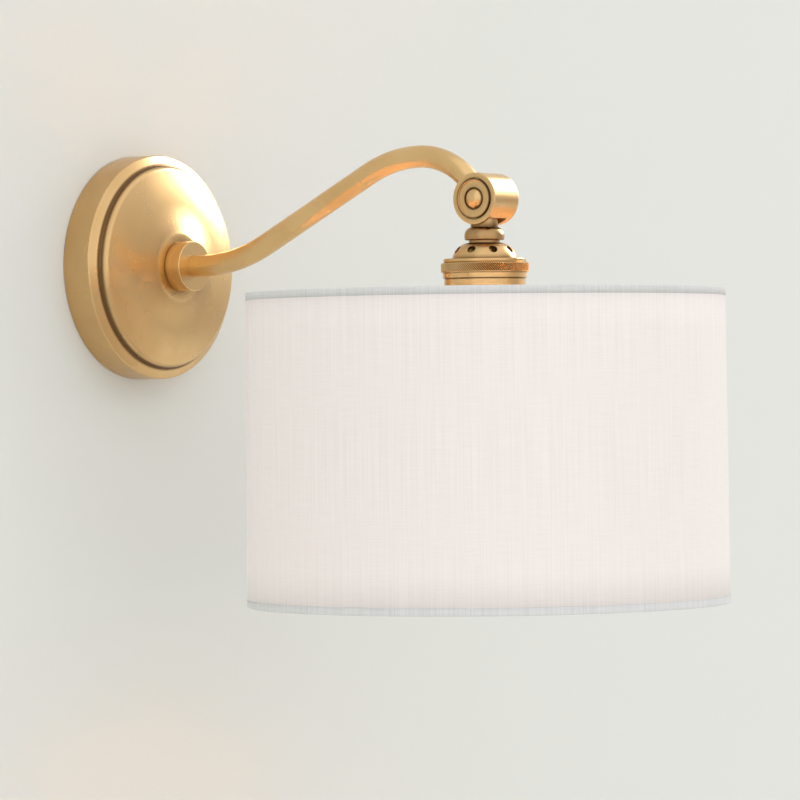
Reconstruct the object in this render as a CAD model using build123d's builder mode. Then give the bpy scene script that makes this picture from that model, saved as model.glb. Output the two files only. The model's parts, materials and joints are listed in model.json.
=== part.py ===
from build123d import *
from math import asin, cos, degrees, radians, sin
import os

# Wall light with a fabric drum shade on a bent arm, in millimetres.
# The wall is the plane y = 0 and the light stands out from it towards -Y, with +Z up.
# The origin is the middle of the wall plate's back.

# ---- Fits ----
thread_gap = 0.05          # between the two halves of a thread
turning_gap = 0.05         # between a turning shaft and its bore
seat_gap = 0.05            # between flat faces that slide on each other
loose_gap = 0.3            # between surfaces that only pass each other

# ---- Wall plate ----
plate_radius = 62.5
plate_wall = 1.2
rim_depth = 17.8           # wall to the rounded front edge of the rim
rim_edge_radius = 1.2
ring_width = 4.5           # sloping ring inside the rim
ring_rise = 2.3
cove_width = 1.7           # dark hollow between the ring and the dome
cove_rise = 4.3
cove_lip_rise = 0.46       # how far the hollow's inner corner stands out from the ring
shoulder_radius = 3.4      # rounding where the dome starts
dome_width = 12.0
dome_rise = 3.0
dome_bend_radius = 100.0   # where the dome flattens
waist_width = 14.0
waist_rise = 1.6
waist_bend_radius = 80.0   # where it rises again towards the seat
seat_radius = 19.0         # raised flat that the arm collar stands on
seat_slope_width = 1.2
seat_rise = 2.7
seat_edge_radius = 6.0

# ---- Mounting bracket behind the plate ----
strap_thickness = 2.0
strap_width = 22.0
strap_bend_radius = 1.8
flange_gap = 2.0           # between a flange and the inside of the rim
flange_depth = 14.0
cable_hole_radius = 8.0
wall_screw_spacing = 88.9
wall_slot_length = 14.0
wall_slot_width = 5.0
cover_screw_radius = 2.0
cover_screw_length = 8.0
cover_screw_depth = 9.0    # distance of the screw's axis from the wall
cover_screw_sunk = 0.5
hex_socket_radius = 1.1
earth_screw_height = -22.0
earth_screw_radius = 2.0
earth_head_radius = 4.0
earth_head_height = 2.4
earth_cross_length = 5.2
earth_cross_width = 1.0
earth_washer_radius = 5.0
earth_washer_thickness = 0.8

# ---- Terminal block on the bracket ----
block_width = 22.0
block_height = 20.0
block_depth = 13.0
block_edge_radius = 1.5
block_groove_width = 1.0
block_groove_depth = 4.3
block_bottom = 13.0        # height of its lower face above the middle
way_pitch = 6.5
way_radius = 1.3
way_depth = 3.0
way_line = 7.0             # wire entries, in front of the strap
terminal_screw_radius = 1.5
terminal_screw_sunk = 0.6
terminal_screw_length = 4.0

# ---- Arm ----
tube_radius = 6.0
tube_wall = 1.1
collar_radius = 13.9
collar_length = 10.3
collar_edge = 0.5
tube_socket_depth = 6.3
nipple_radius = 5.0
nipple_bore = 3.6
nipple_inside = 13.0       # length of thread behind the plate
nut_across_flats = 14.0
nut_thickness = 3.6
washer_radius = 9.0
washer_thickness = 1.0
root_length = 6.1          # straight run in front of the collar
rise_bend_radius = 100.0
rise_angle = 26.8
rise_length = 79.8
crest_bend_radius = 75.0
drop_bend_radius = 45.0
drop_angle = 46.6
drop_length = 13.8         # end of the last bend to the pivot
wire_radius = 1.05
wire_pitch = 2.3
wire_bend_radius = 4.0
wire_in_block = 2.4        # end of a wire inside its way
wire_drop = 5.2            # straight run of a wire below the block

# ---- Knuckle ----
barrel_radius = 13.75
barrel_near = 9.2          # pivot plane to the open end, on the -X side
barrel_far = 13.2          # pivot plane to the closed end
barrel_bore = 10.75
barrel_end_wall = 2.6
barrel_edge_radius = 1.3
mouth_edge_radius = 0.5
tilt_forward = 7.0         # degrees, away from the wall
tilt_back = 10.0           # degrees, towards the wall
friction_washer_thickness = 0.6
core_bore = 6.0
core_end_wall = 2.0
core_screw_wall = 3.0
disc_thickness = 1.6
disc_stand = 0.2           # how far the disc's face stands out of the barrel
disc_lip_width = 0.9
disc_lip_height = 0.6
disc_recess_radius = 5.9
disc_recess_depth = 0.5
pivot_head_radius = 5.2
pivot_head_height = 2.6
pivot_shank_radius = 2.5
pivot_shank_length = 4.0

# ---- Neck, measured downwards from the pivot ----
neck_shoulder = 8.2
spigot_length = 2.2
stem_radius = 7.3
stem_bore = 3.2
spigot_radius = 4.5
bead_top = 15.0
bead_radius = 10.6
bead_height = 6.9
bead_crown_height = 5.2    # top of the bead down to its widest line
bead_crown_bulge = 1.2     # how far the crown stands out from a cone
bead_lip_radius = 0.8
lower_neck_radius = 8.2
lower_neck_height = 1.4
cap_nipple_above = 7.9     # thread inside the neck
cap_nut_thickness = 5.5    # deep enough to close the view through opposite vents

# ---- Vented cap and lampholder ----
cap_wall = 1.0
cap_top_radius = 8.9
dome_base_radius = 17.2
cap_dome_height = 8.1
cap_dome_bulge = 1.9       # how far the dome stands out from a cone
ledge_radius = 21.9
ledge_height = 2.0
ledge_edge_radius = 0.5
ledge_corner_radius = 0.1
cap_skirt_radius = 20.6
cap_skirt_height = 5.2
vent_count = 8
vent_radius = 2.3
vent_circle = 15.1
vent_height = 3.6          # top of the cap down to the vents' middles
vent_slope = 51.0          # degrees from vertical to a vent's axis
vent_cut_depth = 2.5
vent_turn = 8.2            # degrees from +X to the first vent
knurl_radius = 23.3
knurl_height = 5.0
knurl_gap = 0.3
skirt_radius = 22.3
skirt_height = 2.8
skirt_gap = 0.2
groove_depth = 1.3
groove_height = 0.4
band_radius = 21.6
band_height = 14.5
shell_spigot_radius = 19.3
shell_spigot_height = 3.6
shell_bore = 18.1
shell_lip_radius = 16.6
shell_lip_height = 1.0
shade_thread_radius = 19.8
shade_thread_length = 23.0
notch_turn = -168.0        # degrees from +X
notch_width = 0.7
notch_height = 2.1
notch_foot = 2.0
notch_depth = 0.5

# ---- Lampholder insides ----
insert_gap = 0.2
insert_head = 12.0         # from the top of the insert to its contact floor
insert_skirt_height = 16.9
insert_skirt_bore = 15.2
insert_wire_way = 4.0
insert_edge_radius = 1.0
holder_wire_bend_radius = 2.8
holder_wire_spread = 14.4  # height above the insert where the wires spread out
holder_wire_straight = 7.2 # straight run of a wire that ends in the insert
holder_wire_radius = 0.9
holder_wire_pitch = 2.0
holder_terminal_circle = 8.0
holder_screw_circle = 12.5
holder_screw_radius = 2.2
holder_screw_height = 1.6
holder_screw_shank = 1.3
socket_radius = 14.3       # outside of the screw shell's ridges
socket_wall = 0.5
socket_ridge = 0.45
socket_pitch = 3.6
socket_turns = 4
tongue_width = 5.0
tongue_length = 16.0
tongue_thickness = 0.6
tongue_bump = 1.4
tongue_edge_radius = 0.84

# ---- Bulb ----
bulb_tip_gap = 0.3
bulb_tip_radius = 4.0
bulb_tip_height = 1.6
bulb_tip_edge_radius = 1.28
bulb_insulator_radius = 9.5
bulb_insulator_height = 2.6
bulb_cap_radius = 13.1
bulb_cap_wall = 0.5
bulb_cap_height = 21.0
bulb_length = 104.0
bulb_radius = 30.0
bulb_glass_wall = 0.9
bulb_neck_radius = 14.6
bulb_flare = 40.0          # degrees of the ball above its middle
glass_in_cap = 4.0
stem_glass_radius = 5.0
stem_glass_height = 26.0
post_radius = 0.8
filament_radius = 1.1
filament_length = 36.0
filament_circle = 6.5
filament_count = 4

# ---- Shade ----
shade_drop = 48.4          # pivot down to the top edge of the shade
shade_height = 166.4
shade_top_radius = 127.0
shade_bottom_radius = 128.0
fabric_thickness = 0.6
liner_thickness = 0.4
hoop_radius = 1.5          # wire of the top and bottom hoops
hoop_gap = 0.3             # between a hoop and the liner
tape_thickness = 0.3       # edging tape folded over each hoop
tape_corner_radius = 0.9   # where the tape turns over the shade's edge
tape_front = 4.2           # edge of the shade to the tape's edge on the outside
tape_height = 10.0         # the same on the inside
tape_lap = 8.0             # edge to where the tape meets the liner
tape_tuck = 3.6            # edge to where it starts to close in from the hoop
fitter_thickness = 1.5
fitter_outer_radius = 27.0
fitter_gap = 0.3
spoke_count = 3
spoke_radius = 1.5
spoke_bend_radius = 6.0
spoke_rise_start = 14.0    # distance of the upward bend from the hoop
spoke_turn = 30.0          # degrees from +X to the first spoke
shade_ring_height = 6.0
shade_ring_radius = 24.5
grip_count = 30
grip_radius = 0.8

os.makedirs("parts", exist_ok=True)


def save(piece, label):
    piece.part.label = label
    export_step(piece.part, f"parts/{label}.step")


# ---- Planes and axes ----
# In the side plane, local x is the distance from the wall and local y is the height.
side_plane = Plane(origin=(0, 0, 0), x_dir=(0, -1, 0), z_dir=(-1, 0, 0))
wall_axis = Axis((0, 0, 0), (0, -1, 0))


# ---- Route of the arm ----
ring_radius = plate_radius - ring_width
cove_radius = ring_radius - cove_width
ring_depth = rim_depth + ring_rise
dome_depth = ring_depth + cove_rise
waist_depth = dome_depth + dome_rise
bell_depth = waist_depth + waist_rise
seat_depth = bell_depth + seat_rise
collar_depth = seat_depth + collar_length
tube_start = collar_depth - tube_socket_depth
bend_start = collar_depth + root_length


def arm_route(start_depth, offset, end_short):
    """The arm's centre line, moved sideways by offset and ended short of the pivot."""
    root = Line(
        side_plane.from_local_coords((start_depth, 0, offset)),
        side_plane.from_local_coords((bend_start, 0, offset)),
    )
    rise_bend = JernArc(root @ 1, root % 1, rise_bend_radius, rise_angle)
    rise = Line(rise_bend @ 1, rise_bend @ 1 + (rise_bend % 1) * rise_length)
    crest_bend = JernArc(rise @ 1, rise % 1, crest_bend_radius, -rise_angle)
    drop_bend = JernArc(crest_bend @ 1, crest_bend % 1, drop_bend_radius, -drop_angle)
    run = drop_length - end_short
    return Line(drop_bend @ 1, drop_bend @ 1 + (drop_bend % 1) * run)


with BuildLine(side_plane) as centre_line:
    last_run = arm_route(tube_start, 0, 0)
pivot = last_run @ 1
arm_direction = last_run % 1
pivot_axis = Axis(pivot, (1, 0, 0))
head_axis = Axis(pivot, (0, 0, -1))
print("pivot", pivot)

# In the head plane, local x runs along +X and local y along +Z, both from the pivot.
head_plane = Plane(origin=pivot, x_dir=(1, 0, 0), z_dir=(0, -1, 0))


def level(drop):
    """A horizontal plane below the pivot, facing up."""
    return Plane(origin=pivot - Vector(0, 0, drop), z_dir=(0, 0, 1))


# ---- Wall plate ----
def plate_outline(inset):
    """Section of the plate from its back edge to the middle, moved in by inset."""
    points = [
        (0, plate_radius - inset),
        (rim_depth - inset, plate_radius - inset),
        (ring_depth - inset, ring_radius - inset),
        (ring_depth + cove_lip_rise - inset, cove_radius - inset),
        (dome_depth - inset, cove_radius - inset),
        (waist_depth - inset, cove_radius - dome_width - inset),
        (bell_depth - inset, cove_radius - dome_width - waist_width - inset),
        (seat_depth - inset, seat_radius - seat_slope_width / 2 - inset),
        (seat_depth - inset, 0),
    ]
    radii = [
        rim_edge_radius,
        rim_edge_radius / 2,
        rim_edge_radius,
        shoulder_radius,
        dome_bend_radius,
        waist_bend_radius,
        seat_edge_radius,
    ]
    outline = FilletPolyline(*points, radius=radii)
    Polyline(outline @ 1, (0, 0), outline @ 0)


with BuildPart() as back_plate:
    with BuildSketch(side_plane):
        with BuildLine():
            plate_outline(0)
        make_face()
        with BuildLine(mode=Mode.PRIVATE) as inner_line:
            plate_outline(plate_wall)
        make_face(inner_line.edges(), mode=Mode.SUBTRACT)
    revolve(axis=wall_axis)
    with BuildSketch(Plane.XZ):
        Circle(nipple_radius + thread_gap)
    extrude(amount=seat_depth + loose_gap, mode=Mode.SUBTRACT)
    with BuildSketch(Plane.XY):
        with Locations((0, -cover_screw_depth)):
            Circle(cover_screw_radius + loose_gap / 2)
    extrude(amount=plate_radius, both=True, mode=Mode.SUBTRACT)
save(back_plate, "back_plate")

# ---- Mounting bracket ----
flange_outer = plate_radius - plate_wall - flange_gap
with BuildPart() as mounting_bracket:
    with BuildSketch(Plane.YZ):
        with BuildLine():
            Polyline(
                (0, -flange_outer),
                (-flange_depth, -flange_outer),
                (-flange_depth, -flange_outer + strap_thickness),
                (-strap_thickness, -flange_outer + strap_thickness),
                (-strap_thickness, flange_outer - strap_thickness),
                (-flange_depth, flange_outer - strap_thickness),
                (-flange_depth, flange_outer),
                (0, flange_outer),
                close=True,
            )
        make_face()
    extrude(amount=strap_width / 2, both=True)
    fillet(mounting_bracket.edges().filter_by(Axis.X).filter_by_position(
        Axis.Y, -thread_gap, thread_gap), radius=strap_bend_radius)
    with BuildSketch(Plane.XZ):
        Circle(cable_hole_radius)
        for side in (-1, 1):
            with Locations((0, side * wall_screw_spacing / 2)):
                SlotOverall(wall_slot_length, wall_slot_width, rotation=90)
        with Locations((0, earth_screw_height)):
            Circle(earth_screw_radius + thread_gap)
    extrude(amount=strap_thickness, mode=Mode.SUBTRACT)
    with BuildSketch(Plane.XY):
        with Locations((0, -cover_screw_depth)):
            Circle(cover_screw_radius + thread_gap)
    extrude(amount=plate_radius, both=True, mode=Mode.SUBTRACT)
save(mounting_bracket, "mounting_bracket")

with BuildPart() as cover_screws:
    screw_top = plate_radius - cover_screw_sunk
    with BuildSketch(Plane.XY.offset(screw_top - cover_screw_length)):
        with Locations((0, -cover_screw_depth)):
            Circle(cover_screw_radius)
    extrude(amount=cover_screw_length)
    with BuildSketch(Plane.XY.offset(screw_top - cover_screw_radius)):
        with Locations((0, -cover_screw_depth)):
            RegularPolygon(hex_socket_radius, 6)
    extrude(amount=cover_screw_radius, mode=Mode.SUBTRACT)
    mirror(about=Plane.XY)
save(cover_screws, "cover_screws")

with BuildPart() as earth_washer:
    with BuildSketch(Plane.XZ.offset(strap_thickness)):
        with Locations((0, earth_screw_height)):
            Circle(earth_washer_radius)
            Circle(earth_screw_radius + thread_gap, mode=Mode.SUBTRACT)
    extrude(amount=earth_washer_thickness)
save(earth_washer, "earth_washer")

with BuildPart() as earth_screw:
    head_back = strap_thickness + earth_washer_thickness
    with BuildSketch(Plane.XZ):
        with Locations((0, earth_screw_height)):
            Circle(earth_screw_radius)
    extrude(amount=head_back)
    with BuildSketch(Plane.XZ.offset(head_back)):
        with Locations((0, earth_screw_height)):
            Circle(earth_head_radius)
    extrude(amount=earth_head_height)
    fillet(earth_screw.edges().sort_by(Axis.Y)[0], radius=earth_head_height / 2)
    with BuildSketch(Plane.XZ.offset(head_back + earth_head_height / 2)):
        with Locations((0, earth_screw_height)):
            Rectangle(earth_cross_length, earth_cross_width)
            Rectangle(earth_cross_width, earth_cross_length)
    extrude(amount=earth_head_height, mode=Mode.SUBTRACT)
save(earth_screw, "earth_screw")

# ---- Terminal block ----
block_middle = block_bottom + block_height / 2
way_places = [(way_pitch * way, -strap_thickness - way_line) for way in (-1, 0, 1)]
terminal_rows = [
    (way_pitch * way, block_middle + row * block_height / 4)
    for way in (-1, 0, 1)
    for row in (-1, 1)
]
with BuildPart() as terminal_block:
    with BuildSketch(Plane.XZ.offset(strap_thickness)):
        with Locations((0, block_middle)):
            Rectangle(block_width, block_height)
    extrude(amount=block_depth)
    fillet(terminal_block.edges().filter_by(Axis.Y), radius=block_edge_radius)
    with BuildSketch(Plane.XY.offset(block_bottom)):
        with Locations(way_places):
            Circle(way_radius)
    extrude(amount=way_depth, mode=Mode.SUBTRACT)
    with BuildSketch(Plane.XZ.offset(strap_thickness + block_depth)):
        with Locations(terminal_rows):
            Circle(terminal_screw_radius + thread_gap)
    extrude(amount=-terminal_screw_length, mode=Mode.SUBTRACT)
    with BuildSketch(Plane.XZ.offset(strap_thickness + block_depth)):
        for side in (-1, 1):
            with Locations((side * way_pitch / 2, block_middle)):
                Rectangle(block_groove_width, block_height)
    extrude(amount=-block_groove_depth, mode=Mode.SUBTRACT)
save(terminal_block, "terminal_block")

with BuildPart() as terminal_screws:
    screw_face = strap_thickness + block_depth - terminal_screw_sunk
    with BuildSketch(Plane.XZ.offset(screw_face)):
        with Locations(terminal_rows):
            Circle(terminal_screw_radius)
    extrude(amount=terminal_screw_sunk - terminal_screw_length)
    with BuildSketch(Plane.XZ.offset(screw_face)):
        with Locations(terminal_rows):
            Rectangle(terminal_screw_radius * 2, terminal_screw_radius / 3)
    extrude(amount=-terminal_screw_sunk, mode=Mode.SUBTRACT)
save(terminal_screws, "terminal_screws")

# ---- Arm collar and its fixing ----
with BuildPart() as arm_collar:
    with BuildSketch(Plane.XZ.offset(seat_depth)):
        Circle(collar_radius)
        Circle(nipple_radius + thread_gap, mode=Mode.SUBTRACT)
    extrude(amount=collar_length)
    with BuildSketch(Plane.XZ.offset(tube_start)):
        Circle(tube_radius + thread_gap)
    extrude(amount=tube_socket_depth, mode=Mode.SUBTRACT)
    rims = arm_collar.edges().filter_by(GeomType.CIRCLE).filter_by(
        lambda edge: abs(edge.radius - collar_radius) < 0.01)
    fillet(rims, radius=collar_edge)
save(arm_collar, "arm_collar")

nipple_start = seat_depth - plate_wall - nipple_inside
with BuildPart() as threaded_nipple:
    with BuildSketch(Plane.XZ.offset(nipple_start)):
        Circle(nipple_radius)
        Circle(nipple_bore, mode=Mode.SUBTRACT)
    extrude(amount=tube_start - nipple_start)
save(threaded_nipple, "threaded_nipple")

washer_back = seat_depth - plate_wall - washer_thickness
with BuildPart() as lock_washer:
    with BuildSketch(Plane.XZ.offset(washer_back)):
        Circle(washer_radius)
        Circle(nipple_radius + thread_gap, mode=Mode.SUBTRACT)
    extrude(amount=washer_thickness)
save(lock_washer, "lock_washer")

with BuildPart() as lock_nut:
    with BuildSketch(Plane.XZ.offset(washer_back - nut_thickness)):
        RegularPolygon(nut_across_flats / 2, 6, major_radius=False)
        Circle(nipple_radius + thread_gap, mode=Mode.SUBTRACT)
    extrude(amount=nut_thickness)
save(lock_nut, "lock_nut")

# ---- Arm tube ----
tube_end_short = barrel_bore + loose_gap
with BuildPart() as arm_tube:
    with BuildLine(side_plane) as tube_path:
        arm_route(tube_start, 0, tube_end_short)
    with BuildSketch(Plane.XZ.offset(tube_start)):
        Circle(tube_radius)
        Circle(tube_radius - tube_wall, mode=Mode.SUBTRACT)
    sweep(path=tube_path.wire())
save(arm_tube, "arm_tube")

# ---- Wires from the terminal block through the arm ----
wire_depth = strap_thickness + way_line
wire_entry = block_bottom + wire_in_block
wire_turn = nipple_start - wire_bend_radius
wire_top = block_bottom - wire_drop
with BuildPart() as arm_wires:
    for way in (-1, 0, 1):
        with BuildLine(side_plane) as wire_path:
            lead = FilletPolyline(
                Vector(way * way_pitch, -wire_depth, wire_entry),
                Vector(way * way_pitch, -wire_depth, wire_top),
                Vector(way * wire_pitch, -wire_turn, 0),
                Vector(way * wire_pitch, -nipple_start - wire_bend_radius, 0),
                radius=wire_bend_radius,
            )
            arm_route(nipple_start + wire_bend_radius, -way * wire_pitch, tube_end_short)
        with BuildSketch(Plane.XY.offset(wire_entry)):
            with Locations((way * way_pitch, -wire_depth)):
                Circle(wire_radius)
        sweep(path=wire_path.wire())
save(arm_wires, "arm_wires")

# ---- Knuckle housing and its washer, fixed to the arm ----
# In the tilt plane, local x is the distance from the pivot away from the wall.
tilt_plane = Plane(origin=pivot, x_dir=(0, -1, 0), z_dir=(-1, 0, 0))
barrel_inside = barrel_far - barrel_end_wall
slot_half = stem_radius + loose_gap
with BuildPart() as knuckle_housing:
    with BuildSketch(head_plane):
        with BuildLine():
            FilletPolyline(
                (-barrel_near, 0),
                (-barrel_near, barrel_radius),
                (barrel_far, barrel_radius),
                (barrel_far, 0),
                radius=[mouth_edge_radius, barrel_edge_radius],
            )
            Line((barrel_far, 0), (-barrel_near, 0))
        make_face()
    revolve(axis=pivot_axis)
    with BuildSketch(Plane(origin=pivot + (barrel_inside, 0, 0), z_dir=(-1, 0, 0))):
        Circle(barrel_bore)
    extrude(amount=barrel_inside + barrel_near, mode=Mode.SUBTRACT)
    with BuildSketch(tilt_plane):
        for angle in (-tilt_back, (tilt_forward - tilt_back) / 2, tilt_forward):
            middle = (barrel_radius * sin(radians(angle)), -barrel_radius * cos(radians(angle)))
            with Locations(Location((*middle, 0), angle)):
                Rectangle(slot_half * 2, barrel_radius * 2)
    extrude(amount=slot_half, both=True, mode=Mode.SUBTRACT)
    with BuildSketch(Plane(origin=pivot, z_dir=-arm_direction)):
        Circle(tube_radius + thread_gap)
    extrude(amount=barrel_radius * 2, mode=Mode.SUBTRACT)
save(knuckle_housing, "knuckle_housing")

with BuildPart() as friction_washer:
    with BuildSketch(Plane(origin=pivot + (barrel_inside, 0, 0), z_dir=(-1, 0, 0))):
        Circle(barrel_bore - turning_gap)
        Circle(core_bore, mode=Mode.SUBTRACT)
    extrude(amount=friction_washer_thickness)
save(friction_washer, "friction_washer")

# ---- Swivel core, end disc and pivot screw, which tilt with the head ----
core_radius = barrel_bore - turning_gap
core_near = barrel_near + disc_stand - disc_thickness
core_far = barrel_inside - friction_washer_thickness - seat_gap
window_spread = max(tilt_forward, tilt_back)
with BuildPart() as swivel_core:
    with BuildSketch(Plane(origin=pivot - (core_near, 0, 0), z_dir=(1, 0, 0))):
        Circle(core_radius)
    extrude(amount=core_near + core_far)
    with BuildSketch(Plane(origin=pivot - (core_near - core_screw_wall, 0, 0), z_dir=(1, 0, 0))):
        Circle(core_bore)
    extrude(amount=core_near + core_far - core_screw_wall - core_end_wall, mode=Mode.SUBTRACT)
    with BuildSketch(Plane(origin=pivot - (core_near, 0, 0), z_dir=(1, 0, 0))):
        Circle(pivot_shank_radius + thread_gap)
    extrude(amount=core_screw_wall, mode=Mode.SUBTRACT)
    with BuildSketch(level(neck_shoulder)):
        Circle(stem_radius + thread_gap)
    extrude(amount=-core_radius, mode=Mode.SUBTRACT)
    with BuildSketch(level(0)):
        Circle(spigot_radius + thread_gap)
    extrude(amount=-core_radius, mode=Mode.SUBTRACT)
    for angle in (-window_spread, 0, window_spread):
        with BuildSketch(Plane(origin=pivot, z_dir=(-arm_direction).rotate(Axis.X, angle))):
            Circle(nipple_bore)
        extrude(amount=core_radius * 2, mode=Mode.SUBTRACT)
save(swivel_core, "swivel_core")

disc_radius = barrel_bore - loose_gap
disc_face = barrel_near + disc_stand
with BuildPart() as end_disc:
    with BuildSketch(head_plane):
        with BuildLine():
            Polyline(
                (-core_near, pivot_shank_radius + thread_gap),
                (-core_near, disc_radius),
                (-disc_face - disc_lip_height, disc_radius),
                (-disc_face - disc_lip_height, disc_radius - disc_lip_width),
                (-disc_face, disc_radius - disc_lip_width),
                (-disc_face, disc_recess_radius),
                (-disc_face + disc_recess_depth, disc_recess_radius),
                (-disc_face + disc_recess_depth, pivot_shank_radius + thread_gap),
                close=True,
            )
        make_face()
    revolve(axis=pivot_axis)
    lips = end_disc.edges().filter_by(GeomType.CIRCLE).group_by(Axis.X)[0]
    fillet(lips, radius=disc_lip_height / 2)
save(end_disc, "end_disc")

head_base = disc_face - disc_recess_depth
pivot_dome_radius = (pivot_head_radius**2 + pivot_head_height**2) / (2 * pivot_head_height)
pivot_dome_angle = degrees(asin(pivot_head_radius / pivot_dome_radius))
with BuildPart() as pivot_screw:
    with BuildSketch(head_plane):
        with BuildLine():
            dome = CenterArc(
                (pivot_dome_radius - disc_face - pivot_head_height, 0),
                pivot_dome_radius, 180, -pivot_dome_angle)
            Polyline(
                dome @ 1,
                (-head_base, pivot_head_radius),
                (-head_base, pivot_shank_radius),
                (-head_base + pivot_shank_length, pivot_shank_radius),
                (-head_base + pivot_shank_length, 0),
                dome @ 0,
            )
        make_face()
    revolve(axis=pivot_axis)
save(pivot_screw, "pivot_screw")

# ---- Neck stem with its bead ----
bead_bottom = bead_top + bead_height
cap_top = bead_bottom + lower_neck_height
with BuildPart() as neck_stem:
    with BuildSketch(head_plane):
        with BuildLine():
            crown = SagittaArc(
                (stem_radius, -bead_top),
                (bead_radius, -bead_top - bead_crown_height),
                bead_crown_bulge,
            )
            bead = FilletPolyline(
                crown @ 1,
                (bead_radius, -bead_bottom),
                (lower_neck_radius, -bead_bottom),
                radius=bead_lip_radius,
            )
            Polyline(
                bead @ 1,
                (lower_neck_radius, -cap_top),
                (nipple_radius + thread_gap, -cap_top),
                (nipple_radius + thread_gap, -cap_top + cap_nipple_above),
                (stem_bore, -cap_top + cap_nipple_above),
                (stem_bore, -neck_shoulder + spigot_length),
                (spigot_radius, -neck_shoulder + spigot_length),
                (spigot_radius, -neck_shoulder),
                (stem_radius, -neck_shoulder),
                crown @ 0,
            )
        make_face()
    revolve(axis=head_axis)
save(neck_stem, "neck_stem")

cap_nut_top = cap_top + cap_wall
with BuildPart() as cap_nipple:
    with BuildSketch(level(cap_nut_top + cap_nut_thickness)):
        Circle(nipple_radius)
        Circle(nipple_bore, mode=Mode.SUBTRACT)
    extrude(amount=cap_nut_thickness + cap_wall + cap_nipple_above - seat_gap)
save(cap_nipple, "cap_nipple")

with BuildPart() as cap_nut:
    with BuildSketch(level(cap_nut_top + cap_nut_thickness)):
        RegularPolygon(nut_across_flats / 2, 6, major_radius=False)
        Circle(nipple_radius + thread_gap, mode=Mode.SUBTRACT)
    extrude(amount=cap_nut_thickness)
save(cap_nut, "cap_nut")

# ---- Vented cap ----
dome_base = cap_top + cap_dome_height
ledge_bottom = dome_base + ledge_height + knurl_gap
cap_bottom = ledge_bottom + cap_skirt_height
cap_skirt_bore = shell_spigot_radius + thread_gap
with BuildPart() as vented_cap:
    with BuildSketch(head_plane):
        with BuildLine():
            dome = SagittaArc(
                (cap_top_radius, -cap_top), (dome_base_radius, -dome_base), cap_dome_bulge)
            ledge = FilletPolyline(
                dome @ 1,
                (dome_base_radius, -dome_base - knurl_gap),
                (ledge_radius, -dome_base - knurl_gap),
                (ledge_radius, -ledge_bottom),
                (cap_skirt_radius, -ledge_bottom),
                radius=[ledge_corner_radius, ledge_edge_radius, ledge_edge_radius],
            )
            skirt = Polyline(
                ledge @ 1,
                (cap_skirt_radius, -cap_bottom),
                (cap_skirt_bore, -cap_bottom),
                (cap_skirt_bore, -ledge_bottom),
                (dome_base_radius - cap_wall, -dome_base - cap_wall),
            )
            inner_dome = SagittaArc(
                (cap_top_radius - cap_wall / 2, -cap_top - cap_wall), skirt @ 1,
                cap_dome_bulge)
            Polyline(
                inner_dome @ 0,
                (nipple_radius + thread_gap, -cap_top - cap_wall),
                (nipple_radius + thread_gap, -cap_top),
                dome @ 0,
            )
        make_face()
    revolve(axis=head_axis)
    for vent in range(vent_count):
        turn = radians(vent_turn + vent * 360 / vent_count)
        outward = Vector(cos(turn), sin(turn), 0)
        middle = pivot + outward * vent_circle - Vector(0, 0, cap_top + vent_height)
        slope = outward * sin(radians(vent_slope)) + Vector(0, 0, cos(radians(vent_slope)))
        with BuildSketch(Plane(origin=middle, z_dir=slope)):
            Circle(vent_radius)
        extrude(amount=vent_cut_depth, both=True, mode=Mode.SUBTRACT)
save(vented_cap, "vented_cap")

# ---- Knurled lock ring ----
knurl_top = ledge_bottom + knurl_gap
knurl_bottom = knurl_top + knurl_height
with BuildPart() as knurled_ring:
    with BuildSketch(level(knurl_bottom)):
        Circle(knurl_radius)
        Circle(cap_skirt_radius + turning_gap, mode=Mode.SUBTRACT)
    extrude(amount=knurl_height)
    rims = knurled_ring.edges().filter_by(GeomType.CIRCLE).filter_by(
        lambda edge: abs(edge.radius - knurl_radius) < 0.01)
    chamfer(rims, length=knurl_gap)
save(knurled_ring, "knurled_ring")

# ---- Lampholder shell ----
skirt_top = knurl_bottom + skirt_gap
skirt_bottom = skirt_top + skirt_height
band_top = skirt_bottom + groove_height
band_bottom = skirt_top + band_height + skirt_height
shell_bottom = band_bottom + shade_thread_length
with BuildPart() as holder_shell:
    with BuildSketch(head_plane):
        with BuildLine():
            Polyline(
                (shell_bore, -skirt_top + shell_spigot_height),
                (shell_spigot_radius, -skirt_top + shell_spigot_height),
                (shell_spigot_radius, -skirt_top),
                (skirt_radius, -skirt_top),
                (skirt_radius, -skirt_bottom),
                (skirt_radius - groove_depth, -skirt_bottom),
                (skirt_radius - groove_depth, -band_top),
                (band_radius, -band_top),
                (band_radius, -band_bottom),
                (shade_thread_radius, -band_bottom),
                (shade_thread_radius, -shell_bottom),
                (shell_lip_radius, -shell_bottom),
                (shell_lip_radius, -shell_bottom + shell_lip_height),
                (shell_bore, -shell_bottom + shell_lip_height),
                close=True,
            )
        make_face()
    revolve(axis=head_axis)
    notch_angle = radians(notch_turn)
    notch_out = Vector(cos(notch_angle), sin(notch_angle), 0)
    notch_origin = pivot + notch_out * skirt_radius - Vector(0, 0, skirt_bottom)
    with BuildSketch(Plane(origin=notch_origin, x_dir=Vector(-notch_out.Y, notch_out.X, 0),
                           z_dir=notch_out)):
        with Locations((0, skirt_height - notch_height / 2)):
            Rectangle(notch_width, notch_height)
        with Locations((notch_foot / 2, skirt_height - notch_height)):
            Rectangle(notch_foot + notch_width, notch_width)
    extrude(amount=notch_depth, both=True, mode=Mode.SUBTRACT)
save(holder_shell, "holder_shell")

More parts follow.
